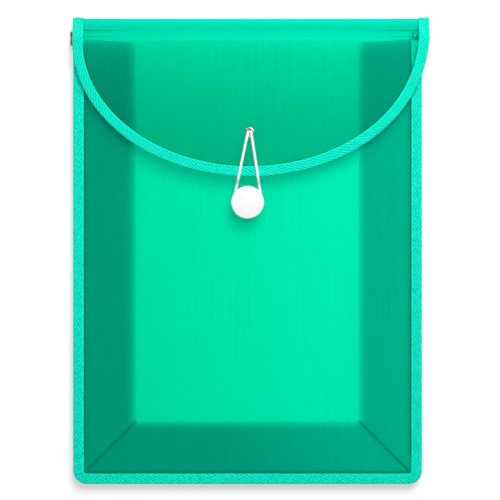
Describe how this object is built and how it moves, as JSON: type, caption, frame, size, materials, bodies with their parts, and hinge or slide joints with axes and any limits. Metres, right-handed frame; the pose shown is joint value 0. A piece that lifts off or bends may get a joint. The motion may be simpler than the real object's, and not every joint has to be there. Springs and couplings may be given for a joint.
{
  "type": "top load document wallet",
  "caption": "Flat translucent plastic document wallet that loads from the top, with a folded gusset, taped edges, a half-oval flap and an elastic loop that hooks round a round button.",
  "frame": {"origin": "middle of the wallet's outline as seen from the front, on the surface that it lies on", "axes": "+X to the reader's right, +Y up the sheet towards the fold and the mouth, +Z out of the front; the wallet lies on its back"},
  "size_m": [0.2564, 0.3349, 0.0143],
  "materials": {
    "sheet_green": "frosted translucent emerald green sheet with a fine upright grain",
    "gusset_green": "the same sheet in a thinner gauge",
    "tape_green": "woven twill binding tape with a slight sheen",
    "button_white": "smooth white moulding",
    "elastic_white": "round braided elastic cord",
    "nickel": "nickel plate"
  },
  "bodies": {
    "back": {"back_panel": "sheet_green", "back_binding": "tape_green", "back_gusset_hem": "gusset_green", "left_tape_clip": "nickel", "right_tape_clip": "nickel"},
    "front": {"front_panel": "sheet_green", "front_binding": "tape_green", "front_gusset_hem": "gusset_green", "button_cap": "button_white", "button_spacer": "button_white", "button_lock_washer": "button_white"},
    "left_back_leaf": {"left_gusset_back_leaf": "gusset_green"},
    "left_front_leaf": {"left_gusset_front_leaf": "gusset_green"},
    "right_back_leaf": {"right_gusset_back_leaf": "gusset_green"},
    "right_front_leaf": {"right_gusset_front_leaf": "gusset_green"},
    "bottom_back_leaf": {"bottom_gusset_back_leaf": "gusset_green"},
    "bottom_front_leaf": {"bottom_gusset_front_leaf": "gusset_green"},
    "spine_back": {"spine_back_strip": "sheet_green", "spine_back_left_tape": "tape_green", "spine_back_right_tape": "tape_green", "fold_ridge": "sheet_green", "fold_left_tape": "tape_green", "fold_right_tape": "tape_green"},
    "spine_front": {"spine_front_strip": "sheet_green", "spine_front_left_tape": "tape_green", "spine_front_right_tape": "tape_green"},
    "flap": {"flap_panel": "sheet_green", "flap_binding": "tape_green", "eyelet": "nickel", "eyelet_washer": "nickel", "elastic_knot": "elastic_white"},
    "loop": {"elastic_loop": "elastic_white"}
  },
  "joints": [
    {"name": "pocket_expand", "type": "slide", "parent": "back", "child": "front", "axis": [0, 0, 1], "range_m": [0, 0.011]},
    {"name": "left_back_crease", "type": "hinge", "parent": "back", "child": "left_back_leaf", "pos_m": [-0.1172, 0, 0.00195], "axis": [0, -1, 0], "range_deg": [0, 8.6]},
    {"name": "left_front_crease", "type": "hinge", "parent": "front", "child": "left_front_leaf", "pos_m": [-0.1172, 0, 0.00695], "axis": [0, 1, 0], "range_deg": [0, 8.6]},
    {"name": "right_back_crease", "type": "hinge", "parent": "back", "child": "right_back_leaf", "pos_m": [0.1172, 0, 0.00195], "axis": [0, 1, 0], "range_deg": [0, 8.6]},
    {"name": "right_front_crease", "type": "hinge", "parent": "front", "child": "right_front_leaf", "pos_m": [0.1172, 0, 0.00695], "axis": [0, -1, 0], "range_deg": [0, 8.6]},
    {"name": "bottom_back_crease", "type": "hinge", "parent": "back", "child": "bottom_back_leaf", "pos_m": [0, -0.1592, 0.00195], "axis": [1, 0, 0], "range_deg": [0, 8.6]},
    {"name": "bottom_front_crease", "type": "hinge", "parent": "front", "child": "bottom_front_leaf", "pos_m": [0, -0.1592, 0.00695], "axis": [-1, 0, 0], "range_deg": [0, 8.6]},
    {"name": "spine_crease", "type": "hinge", "parent": "back", "child": "spine_back", "pos_m": [0, 0.1588, 0.00135], "axis": [1, 0, 0], "range_deg": [0, 53.8]},
    {"name": "fold_spread", "type": "hinge", "parent": "spine_back", "child": "spine_front", "pos_m": [0, 0.1662, 0.00484], "axis": [-1, 0, 0], "range_deg": [0, 87.5]},
    {"name": "flap_open", "type": "hinge", "parent": "front", "child": "flap", "pos_m": [0, 0.1526, 0.01185], "axis": [-1, 0, 0], "range_deg": [0, 170]},
    {"name": "loop_stretch", "type": "slide", "parent": "flap", "child": "loop", "axis": [0, -1, 0], "range_m": [0, 0.014], "stiffness_N_per_m": 40, "deforming": ["elastic_loop"]}
  ],
  "couplings": [
    {"joint": "left_back_crease", "follows": "pocket_expand", "rad_per_m": 13.536},
    {"joint": "left_front_crease", "follows": "pocket_expand", "rad_per_m": 13.536},
    {"joint": "right_back_crease", "follows": "pocket_expand", "rad_per_m": 13.536},
    {"joint": "right_front_crease", "follows": "pocket_expand", "rad_per_m": 13.536},
    {"joint": "bottom_back_crease", "follows": "pocket_expand", "rad_per_m": 13.536},
    {"joint": "bottom_front_crease", "follows": "pocket_expand", "rad_per_m": 13.536},
    {"joint": "spine_crease", "follows": "pocket_expand", "rad_per_m": 85.179},
    {"joint": "fold_spread", "follows": "pocket_expand", "rad_per_m": 138.55}
  ]
}
